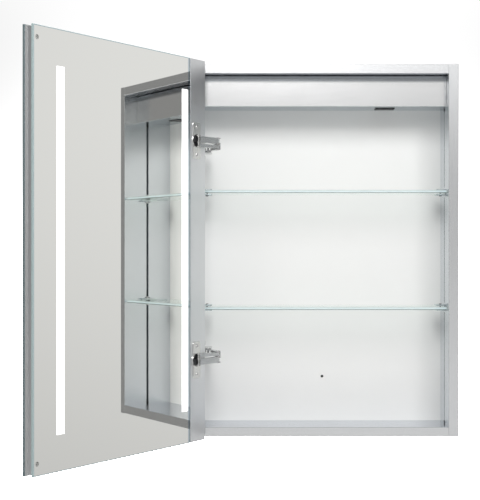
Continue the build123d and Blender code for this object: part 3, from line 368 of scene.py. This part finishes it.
def float_glass(name, low, high):
    """Clear glass shelf between two corners, its front edge pale green between darker lines.

    The green is the glass's own tint, the darker lines at its arrises painted shade. Its faces
    shine at a low angle.
    """
    glass = Finish(name, IOR=1.5, Roughness=0.04)
    x, y, z = glass.axes(glass.place())
    front_edge = y < low.y + GROUND_EDGE
    side_edge = abs(x) > high.x - GROUND_EDGE
    # Front edge by height: darker bands at the lower and upper arrises, painted shade, about the
    # pale green glass
    edge_tint_and_shade = glass.ramp(
        glass.span(z, low.z, high.z),
        (0.0, (0.16, 0.21, 0.20)),
        (0.24, (0.20, 0.26, 0.25)),
        (0.34, (0.72, 0.86, 0.88)),
        (0.72, (0.70, 0.84, 0.87)),
        (0.86, (0.50, 0.58, 0.57)),
        (1.0, (0.52, 0.60, 0.59)),
    )
    glass.feed(Base_Color=glass.blend(front_edge, (0.86, 0.92, 0.91), edge_tint_and_shade))
    wave = glass.noise(glass.place(), 30, 2, 0.5)
    glass.bump(wave, 0.02, 0.0002)
    clear = glass.node("BsdfTransparent", None, {"Color": (0.980, 0.995, 0.988)})
    sheen = glass.node("LayerWeight", None, {"Blend": 0.3}, output="Fresnel")
    share = (sheen * 0.12) | (front_edge * 0.72) | (side_edge * 0.15)
    mixed = glass.node("MixShader", None, {0: share, 1: clear, 2: glass.shader})
    glass.tree.links.new(mixed.socket, glass.out.inputs["Surface"])
    return glass


# The inner colours below are painted shade inside the cabinet; the box's gap gets a darker painted
# shade
body_metal_sides = drawn_metal(
    "satin_aluminium_sides",
    (0.745, 0.752, 0.762),
    "Z",
    0.23,
    painted_inner_shade=(0.71, 0.74, 0.775),
    inside=lambda x, y, z: (y > FRONT_PLANE) & (abs(x) < SIDE_INNER_X),
)
body_metal_rails = drawn_metal(
    "satin_aluminium_rails",
    (0.755, 0.762, 0.770),
    "X",
    0.23,
    painted_inner_shade=(0.62, 0.645, 0.69),
    inside=lambda x, y, z: (y > FRONT_PLANE) & (abs(z) < RAIL_INNER_Z),
)
door_metal = drawn_metal("satin_aluminium_door", (0.78, 0.79, 0.80), "Z", 0.32)
door_metal_rails = drawn_metal("satin_aluminium_door_rails", (0.78, 0.79, 0.80), "X", 0.32)
inner_metal = drawn_metal("mill_aluminium", (0.74, 0.75, 0.76), "Z", 0.42)
back_white = painted("white_back_paint", (0.88, 0.88, 0.865), 0.45)
box_metal = drawn_metal(
    "satin_aluminium_box",
    (0.785, 0.788, 0.79),
    "X",
    0.20,
    painted_inner_shade=(0.60, 0.66, 0.70),
    inside=lambda x, y, z: y > BOX_FRONT,
    gap=GAP_PAINTED_SHADE_HEIGHTS,
)
mirror_front = mirror_plate("front_mirror_glass", 0.0, (0.15, 0.19, 0.20))
mirror_rear = mirror_plate("rear_mirror_glass", REAR_MIRROR_START, (0.42, 0.52, 0.52))
diffuser = painted("opal_light_sheet", (0.40, 0.405, 0.405), 0.35, 0.02)
steel = plated("bright_zinc_steel", (0.70, 0.70, 0.69), 0.24)
cast = plated("nickel_plated_cup", (0.72, 0.715, 0.70), 0.20)
zinc = plated("zinc_screws", (0.66, 0.66, 0.65), 0.22)
clip_metal = plated("brushed_clip_metal", (0.70, 0.76, 0.77), 0.25)
dark_screws = plated("black_oxide_screws", (0.06, 0.06, 0.065), 0.35)
black_plastic = moulded("black_plastic", (0.018, 0.018, 0.020))
grey_plastic = moulded("grey_cap_plastic", (0.55, 0.56, 0.57))
driver_plastic = moulded("driver_case_plastic", (0.80, 0.80, 0.78))
clear_pads = moulded("clear_soft_pads", (0.72, 0.78, 0.78), 0.3, 0.05)
clear_domes = moulded("clear_bumper_domes", (0.72, 0.78, 0.78), 0.2, 0.05).feed(Alpha=0.012)
tape = moulded("black_foam_tape", (0.03, 0.03, 0.03), 0.85, 0.5)
board = painted("white_board_mask", (0.85, 0.85, 0.83), 0.35, 0.03)
brass = plated("brass_contacts", (0.80, 0.62, 0.30), 0.25)


put(body_metal_sides, "side_panel_left", "side_panel_right")
put(body_metal_rails, "top_panel", "bottom_panel")
put(back_white, "back_panel")
put(box_metal, "light_box_cover")
put(mirror_front, "front_mirror")
put(mirror_rear, "rear_mirror")
put(diffuser, "light_sheet")
put(door_metal, "hinge_stile", "free_stile")
put(door_metal_rails, "door_rail_top", "door_rail_bottom")
put(inner_metal, "corner_keys", "led_carriers", "shelf_nuts_upper", "shelf_nuts_lower")
for level in LEVELS:
    shelf = f"shelf_glass_{level}"
    put(float_glass(f"clear_{shelf}", *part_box(shelf)), shelf)
    put(cast, f"hinge_cup_{level}")
    put(steel, *(f"hinge_{part}_{level}" for part in ("beam", "link", "arm", "plate")))
    put(black_plastic, f"hinge_insert_{level}")
    put(clip_metal, f"shelf_clip_{level}_left", f"shelf_clip_{level}_right")
    put(clear_pads, f"shelf_pads_{level}")
    put(dark_screws, f"shelf_screws_{level}")
put(steel, "hinge_guides", "cup_pins", "elbow_pins", "arm_pins")
put(zinc, "corner_screws", "back_screws", "light_box_screws")
put(zinc, "driver_screws", "cup_screws", "plate_screws")
put(black_plastic, "power_outlet", "cable_grommet", "slot_stops")
put(grey_plastic, "end_plugs", "stile_caps")
put(driver_plastic, "led_driver", "terminal_block")
put(clear_domes, "door_bumpers")
put(tape, "mirror_tape")
put(board, "led_boards")
put(brass, "outlet_contacts")

# ---------------------------------------------------------------- softened pieces

SAME_POINT = 0.01 * MM
FLAT_ANGLE = math.radians(1)
ROUNDED_ANGLE = math.radians(30)
ROUNDING_SEGMENTS = 2


def stand_for(piece, node):
    """The piece rides with the body of the CAD node that it stands for, and the CAD node is hidden.
    """
    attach(piece, BODY_OF[node])
    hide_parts(node)


def new_piece(name, mesh):
    """An object in the scene, with its place in its mesh."""
    piece = bpy.data.objects.new(name, mesh)
    bpy.context.scene.collection.objects.link(piece)
    return piece


def joined_mesh(node):
    """A copy of a CAD node's mesh with its triangles joined up and its flat faces whole."""
    joined = bmesh.new()
    joined.from_mesh(nodes[node].data)
    bmesh.ops.remove_doubles(joined, verts=joined.verts, dist=SAME_POINT)
    bmesh.ops.dissolve_limit(
        joined,
        angle_limit=FLAT_ANGLE,
        verts=joined.verts,
        edges=joined.edges,
        delimit={"NORMAL"},
    )
    return joined


def settled(piece):
    """The piece's modifiers worked into a plain mesh."""
    bpy.context.view_layer.update()
    shaped = piece.evaluated_get(bpy.context.evaluated_depsgraph_get())
    mesh = bpy.data.meshes.new_from_object(shaped)
    piece.modifiers.clear()
    piece.data = mesh


def soften(node, width):
    """The CAD piece with its arrises rounded to a width in mm, so that they catch the light."""
    joined = joined_mesh(node)
    mesh = bpy.data.meshes.new(f"{node}_rounded")
    joined.to_mesh(mesh)
    joined.free()
    mesh.shade_smooth()
    piece = new_piece(f"{node}_rounded", mesh)
    rounding = piece.modifiers.new("arrises", "BEVEL")
    rounding.width = width * MM
    rounding.segments = ROUNDING_SEGMENTS
    rounding.limit_method = "ANGLE"
    rounding.angle_limit = ROUNDED_ANGLE
    rounding.use_clamp_overlap = True
    facing = piece.modifiers.new("facing", "WEIGHTED_NORMAL")
    facing.keep_sharp = True
    settled(piece)
    piece.data.materials.clear()
    piece.data.materials.append(FINISH_OF[node].material)
    stand_for(piece, node)


# Width of the rounding in mm, and the pieces that have it
SOFTENED = (
    (0.35, "hinge_cup_upper", "hinge_cup_lower"),
    (0.45, "hinge_beam_upper", "hinge_beam_lower", "hinge_link_upper", "hinge_link_lower"),
    (0.40, "hinge_arm_upper", "hinge_arm_lower", "hinge_guides"),
    (0.50, "hinge_plate_upper", "hinge_plate_lower"),
    (0.30, "hinge_insert_upper", "hinge_insert_lower"),
    (0.50, "shelf_clip_upper_left", "shelf_clip_upper_right"),
    (0.50, "shelf_clip_lower_left", "shelf_clip_lower_right"),
    (0.80, "led_driver"),
    (0.50, "terminal_block"),
    (0.30, "power_outlet"),
)
for width, *softened in SOFTENED:
    for node in softened:
        soften(node, width)

# ---------------------------------------------------------------- screws and rivets

HEAD_SIDES = 32
SHAFT_SIDES = 16
SHARP_ANGLE = 0.6
CROSS_REACH = 1.15
# The crown of a head in three steps: the share of its height in each, and how far each draws in
CROWN_STEPS = ((0.45, 0.90), (0.33, 0.80), (0.22, 0.62))


def islands(node):
    """Each separate solid of a CAD node, as its list of points."""
    joined = joined_mesh(node)
    reached = set()
    found = []
    for first in joined.verts:
        if first in reached:
            continue
        reached.add(first)
        frontier = [first]
        island = []
        while frontier:
            vert = frontier.pop()
            island.append(vert.co.copy())
            for edge in vert.link_edges:
                other = edge.other_vert(vert)
                if other not in reached:
                    reached.add(other)
                    frontier.append(other)
        found.append(island)
    joined.free()
    return found


class Modelling:
    """A Geometry Nodes tree being written, with its named sizes and its finish as inputs."""

    def __init__(self, name, *sizes):
        self.tree = bpy.data.node_groups.new(name, "GeometryNodeTree")
        face = self.tree.interface
        for way in ("INPUT", "OUTPUT"):
            face.new_socket("Geometry", in_out=way, socket_type="NodeSocketGeometry")
        self.names = {}
        for key, kind in [(size, "Float") for size in sizes] + [("Finish", "Material")]:
            label = key.replace("_", " ")
            made = face.new_socket(label, in_out="INPUT", socket_type="NodeSocket" + kind)
            self.names[key] = made.identifier
        self.inputs = self.tree.nodes.new("NodeGroupInput")
        self.outputs = self.tree.nodes.new("NodeGroupOutput")

    def add(self, kind, settings=None, sockets=None):
        """One node, its settings made before its sockets are filled."""
        made = self.tree.nodes.new(kind)
        for key, value in (settings or {}).items():
            setattr(made, key, value)
        for key, value in (sockets or {}).items():
            socket = made.inputs[key]
            if isinstance(value, bpy.types.NodeSocket):
                self.tree.links.new(value, socket)
            else:
                socket.default_value = value
        return made

    def given(self, key):
        """One of the tree's own inputs."""
        return self.inputs.outputs[key.replace("_", " ")]

    def maths(self, operation, *values):
        made = self.add("ShaderNodeMath", {"operation": operation}, dict(enumerate(values)))
        return made.outputs[0]

    def moved(self, geometry, **changes):
        return self.add("GeometryNodeTransform", None, {"Geometry": geometry, **changes}).outputs[0]

    def vector(self, x=0.0, y=0.0, z=0.0):
        return self.add("ShaderNodeCombineXYZ", None, {0: x, 1: y, 2: z}).outputs[0]

    def finish(self, geometry):
        """Realised instances, sharp edges kept sharp, and the finish given."""
        real = self.add("GeometryNodeRealizeInstances", None, {"Geometry": geometry})
        smooth = self.add("GeometryNodeSetShadeSmooth", None, {"Geometry": real.outputs[0]})
        bend = self.add("GeometryNodeInputMeshEdgeAngle")
        sharp = self.add(
            "FunctionNodeCompare",
            {"operation": "GREATER_THAN"},
            {0: bend.outputs[0], 1: SHARP_ANGLE},
        )
        kept = self.add(
            "GeometryNodeStoreNamedAttribute",
            {"data_type": "BOOLEAN", "domain": "EDGE"},
            {"Geometry": smooth.outputs[0], "Name": "sharp_edge", "Value": sharp.outputs[0]},
        )
        last = self.add(
            "GeometryNodeSetMaterial",
            None,
            {"Geometry": kept.outputs[0], "Material": self.given("Finish")},
        )
        self.tree.links.new(last.outputs[0], self.outputs.inputs[0])
        return self


def turned_head(model):
    """Head of a screw or rivet: a straight rim under a crown, standing on its base."""
    height, crown = model.given("Head_Height"), model.given("Crown")
    rim = model.add(
        "GeometryNodeMeshCylinder",
        None,
        {"Vertices": HEAD_SIDES, "Radius": model.given("Head_Radius"), "Depth": height},
    )
    body, top = rim.outputs["Mesh"], rim.outputs["Top"]
    for rise, shrink in CROWN_STEPS:
        grown = model.add(
            "GeometryNodeExtrudeMesh",
            None,
            {"Mesh": body, "Selection": top, "Offset Scale": model.maths("MULTIPLY", crown, rise)},
        )
        body, top = grown.outputs["Mesh"], grown.outputs["Top"]
        body = model.add(
            "GeometryNodeScaleElements", None, {"Geometry": body, "Selection": top, "Scale": shrink}
        ).outputs[0]
    lift = model.vector(z=model.maths("MULTIPLY", height, 0.5))
    return model.moved(body, Translation=lift)


def shaft(model, radius, length):
    """Plain shaft below the head."""
    rod = model.add(
        "GeometryNodeMeshCylinder",
        None,
        {"Vertices": SHAFT_SIDES, "Radius": radius, "Depth": length},
    ).outputs["Mesh"]
    return model.moved(rod, Translation=model.vector(z=model.maths("MULTIPLY", length, -0.5)))


def combined(model, *shapes):
    """Several shapes as one."""
    whole = model.add("GeometryNodeJoinGeometry")
    for shape in shapes:
        model.tree.links.new(shape, whole.inputs[0])
    return whole.outputs[0]


def at_points(model, shape):
    """The shape at every point, its own Z along the point's aim."""
    aim = model.add(
        "GeometryNodeInputNamedAttribute", {"data_type": "FLOAT_VECTOR"}, {"Name": "aim"}
    )
    turn = model.add(
        "FunctionNodeAlignRotationToVector", {"axis": "Z"}, {"Vector": aim.outputs[0]}
    )
    return model.add(
        "GeometryNodeInstanceOnPoints",
        None,
        {"Points": model.given("Geometry"), "Instance": shape, "Rotation": turn.outputs[0]},
    ).outputs[0]


def screw_model():
    """Cross-head screw with a crowned head."""
    model = Modelling(
        "cross_head_screws",
        "Head_Radius",
        "Head_Height",
        "Crown",
        "Shank_Radius",
        "Shank_Length",
        "Cross_Width",
    )
    carved = turned_head(model)
    reach = model.maths("MULTIPLY", model.given("Head_Radius"), CROSS_REACH)
    width = model.given("Cross_Width")
    depth = model.maths("ADD", model.given("Head_Height"), model.given("Crown"))
    for size in (model.vector(reach, width, depth), model.vector(width, reach, depth)):
        bar = model.add("GeometryNodeMeshCube", None, {"Size": size}).outputs["Mesh"]
        cutter = model.moved(bar, Translation=model.vector(z=depth))
        carved = model.add(
            "GeometryNodeMeshBoolean",
            {"operation": "DIFFERENCE"},
            {"Mesh 1": carved, "Mesh 2": cutter},
        ).outputs[0]
    shank = shaft(model, model.given("Shank_Radius"), model.given("Shank_Length"))
    return model.finish(at_points(model, combined(model, carved, shank)))


def rivet_model():
    """Hinge rivet with a crowned head at each end."""
    model = Modelling(
        "hinge_rivets", "Head_Radius", "Head_Height", "Crown", "Pin_Radius", "Pin_Length"
    )
    head = turned_head(model)
    length = model.given("Pin_Length")
    pin = shaft(model, model.given("Pin_Radius"), length)
    flipped = model.moved(head, Rotation=(math.pi, 0, 0))
    far = model.moved(flipped, Translation=model.vector(z=model.maths("MULTIPLY", length, -1)))
    return model.finish(at_points(model, combined(model, head, pin, far)))


def planted(name, model, spots, node, **sizes):
    """The model's part at each spot (its place and its aim), sizes in mm, for a CAD node."""
    seeds = bpy.data.meshes.new(name)
    seeds.from_pydata([place for place, _ in spots], [], [])
    aims = seeds.attributes.new("aim", "FLOAT_VECTOR", "POINT")
    aims.data.foreach_set("vector", [value for _, aim in spots for value in aim])
    piece = new_piece(name, seeds)
    grown = piece.modifiers.new(name, "NODES")
    grown.node_group = model.tree
    grown[model.names["Finish"]] = FINISH_OF[node].material
    for key, value in sizes.items():
        grown[model.names[key]] = value * MM
    settled(piece)
    stand_for(piece, node)


def head_spots(node, aim_of, seat):
    """Place and aim of each head: on its screw's axis, seat mm below the far end of its aim."""
    spots = []
    for island in islands(node):
        low = Vector([min(point[i] for point in island) for i in range(3)])
        high = Vector([max(point[i] for point in island) for i in range(3)])
        centre = (low + high) / 2
        aim = Vector(aim_of(centre)).normalized()
        top = max(point.dot(aim) for point in island)
        spots.append((centre + aim * (top - seat * MM - centre.dot(aim)), aim))
    return spots


screw = screw_model()
# Which way the heads of each group face, given their place; then in mm the head's radius, rim and
# crown, the shank's radius and length, and the width of the cross
SCREW_GROUPS = {
    "light_box_screws": (lambda place: (-place.x, 0, 0), 2.8, 0.8, 0.6, 1.4, 6.6, 0.5),
    "driver_screws": (lambda place: (0, -1, 0), 2.8, 0.8, 0.6, 1.4, 1.9, 0.5),
    "cup_screws": (lambda place: OUTWARD, 2.8, 0.8, 0.6, 1.4, 7.8, 0.5),
    "plate_screws": (lambda place: (1, 0, 0), 3.6, 1.4, 0.6, 1.9, 4.2, 0.65),
}
for node, (aim_of, head, rise, crown, shank, length, cross) in SCREW_GROUPS.items():
    planted(
        f"{node}_turned",
        screw,
        head_spots(node, aim_of, rise + crown),
        node,
        Head_Radius=head,
        Head_Height=rise,
        Crown=crown,
        Shank_Radius=shank,
        Shank_Length=length,
        Cross_Width=cross,
    )

RIVET_HEAD = 3.0
RIVET_RIM = 0.35
RIVET_CROWN = 0.45
PIN_RADIUS = 2.0
RIVET_SEAT = RIVET_RIM + RIVET_CROWN

rivet = rivet_model()
for node in ("cup_pins", "elbow_pins", "arm_pins"):
    heights = [point.z for point in islands(node)[0]]
    planted(
        f"{node}_riveted",
        rivet,
        head_spots(node, lambda place: (0, 0, 1), RIVET_SEAT),
        node,
        Head_Radius=RIVET_HEAD,
        Head_Height=RIVET_RIM,
        Crown=RIVET_CROWN,
        Pin_Radius=PIN_RADIUS,
        Pin_Length=(max(heights) - min(heights)) / MM - 2 * RIVET_SEAT,
    )

# ---------------------------------------------------------------- studio

# The surround's own light, and the least that the camera sees of it
AMBIENT = 0.28
BACKDROP = 0.82

FLOOR_LEFT, FLOOR_RIGHT = -4.5, 4.5
FLOOR_FRONT, FLOOR_BACK = -7, 4.2
FLOOR_LEVEL = -1.45

# Painted shade behind the lower screw hole: the hole's height, and the dark disc's radius,
# thickness, sides and setback
LOWER_HOLE_Z = -0.25
HOLE_RADIUS = 6 * MM
HOLE_THICKNESS = 2 * MM
HOLE_SIDES = 32
HOLE_SETBACK = 2 * MM

# Softboxes above and behind the camera: for each row its height, its depth and the radiance of the
# light in each column
LIGHT_Y = -3.4
COLUMN_WIDTH = 0.8
COLUMNS = {"far_left": -0.9, "left": -0.1, "right": 0.7, "far_right": 1.5}
ROWS = {
    "level": (0.75, 0.4, (0, 0.392, 0.394, 0)),
    "raised": (1.25, 0.6, (0, 4.176, 0.762, 0)),
    "high": (1.95, 0.8, (1.455, 9.261, 4.271, 14.151)),
    "top": (2.9, 1.1, (1.336, 15.678, 7.485, 2.274)),
}

CAMERA_PLACE = (-0.1629, -2.7863, 0.00065)
LENS = 100.88
SENSOR_WIDTH = 36.0
UPRIGHT = (math.radians(90), 0, 0)


def studio_world():
    """Studio surround: soft glows of light in the directions they come from."""
    # Each glow: angle from the front toward +X, height angle, tightness, strength
    glows = {
        "right of the wall": (112, 8, 10, 0.399),
        "wall, right": (142, 0, 10, 0.254),
        "overhead": (0, 90, 6, 0.242),
        "wall behind, high": (180, 45, 8, 2.672),
        "wall behind, low": (180, -12, 60, 11.88),
        "floor in front": (5, -16, 40, 1.343),
    }
    world = bpy.data.worlds.new("studio")
    world.use_nodes = True
    surround = Graph(world.node_tree)
    direction = surround.node("TexCoord", output="Generated")
    tone = AMBIENT
    for around, height, tightness, strength in glows.values():
        turn, lift = math.radians(around), math.radians(height)
        aim = (math.sin(turn) * math.cos(lift), -math.cos(turn) * math.cos(lift), math.sin(lift))
        facing = surround.node(
            "VectorMath", {"operation": "DOT_PRODUCT"}, {0: direction, 1: aim}, "Value"
        )
        tone = tone + strength * ((facing - 1) * tightness).exp()
    seen = surround.node("LightPath", output="Is Camera Ray")
    tone = tone | (seen * BACKDROP)
    colour = surround.node("CombineColor", None, {0: tone, 1: tone, 2: tone})
    back = surround.node("Background", None, {"Color": colour, "Strength": 1.0})
    out = surround.tree.nodes.new("ShaderNodeOutputWorld")
    surround.tree.links.new(back.socket, out.inputs["Surface"])
    bpy.context.scene.world = world


def softbox(name, centre, size, radiance):
    """Rectangular studio light facing the wall, not seen by the camera itself."""
    data = bpy.data.lights.new(name, "AREA")
    data.shape = "RECTANGLE"
    data.size, data.size_y = size
    data.energy = radiance * size[0] * size[1] * math.pi
    light = bpy.data.objects.new(name, data)
    bpy.context.scene.collection.objects.link(light)
    light.location = centre
    light.rotation_euler = UPRIGHT
    light.visible_camera = False


def studio_floor():
    """Pale floor well below the cabinet, which hangs at eye height."""
    mesh = bpy.data.meshes.new("studio_floor")
    corners = [
        (FLOOR_LEFT, FLOOR_FRONT, FLOOR_LEVEL),
        (FLOOR_RIGHT, FLOOR_FRONT, FLOOR_LEVEL),
        (FLOOR_RIGHT, FLOOR_BACK, FLOOR_LEVEL),
        (FLOOR_LEFT, FLOOR_BACK, FLOOR_LEVEL),
    ]
    mesh.from_pydata(corners, [], [(0, 1, 2, 3)])
    floor = new_piece("studio_floor", mesh)
    mesh.materials.append(painted("pale_floor", (0.85, 0.85, 0.85), 0.6).material)


def hole_shade_disc():
    """A dark disc behind the lower screw hole, standing for the shade in the wall's hole: painted
    shade.
    """
    hole = new_piece("hole_shade_disc", bpy.data.meshes.new("hole_shade_disc"))
    disc_shape = bmesh.new()
    place = Matrix.Translation((0, HOLE_SETBACK, LOWER_HOLE_Z))
    bmesh.ops.create_cone(
        disc_shape,
        cap_ends=True,
        segments=HOLE_SIDES,
        radius1=HOLE_RADIUS,
        radius2=HOLE_RADIUS,
        depth=HOLE_THICKNESS,
        matrix=place @ Matrix.Rotation(math.pi / 2, 4, "X"),
    )
    disc_shape.to_mesh(hole.data)
    disc_shape.free()
    hole.data.materials.append(moulded("dark_wall_hole", (0.015, 0.015, 0.016), 0.9).material)


studio_world()
studio_floor()
hole_shade_disc()

for row, (height, depth, radiances) in ROWS.items():
    for (column, across), radiance in zip(COLUMNS.items(), radiances):
        if radiance:
            centre = (across, LIGHT_Y, height)
            softbox(f"softbox_{row}_{column}", centre, (COLUMN_WIDTH, depth), radiance)

camera_data = bpy.data.cameras.new("camera")
camera_data.lens = LENS
camera_data.sensor_width = SENSOR_WIDTH
camera = bpy.data.objects.new("camera", camera_data)
camera.location = CAMERA_PLACE
camera.rotation_euler = UPRIGHT
bpy.context.scene.collection.objects.link(camera)
bpy.context.scene.camera = camera
bpy.context.scene.view_settings.view_transform = "Standard"
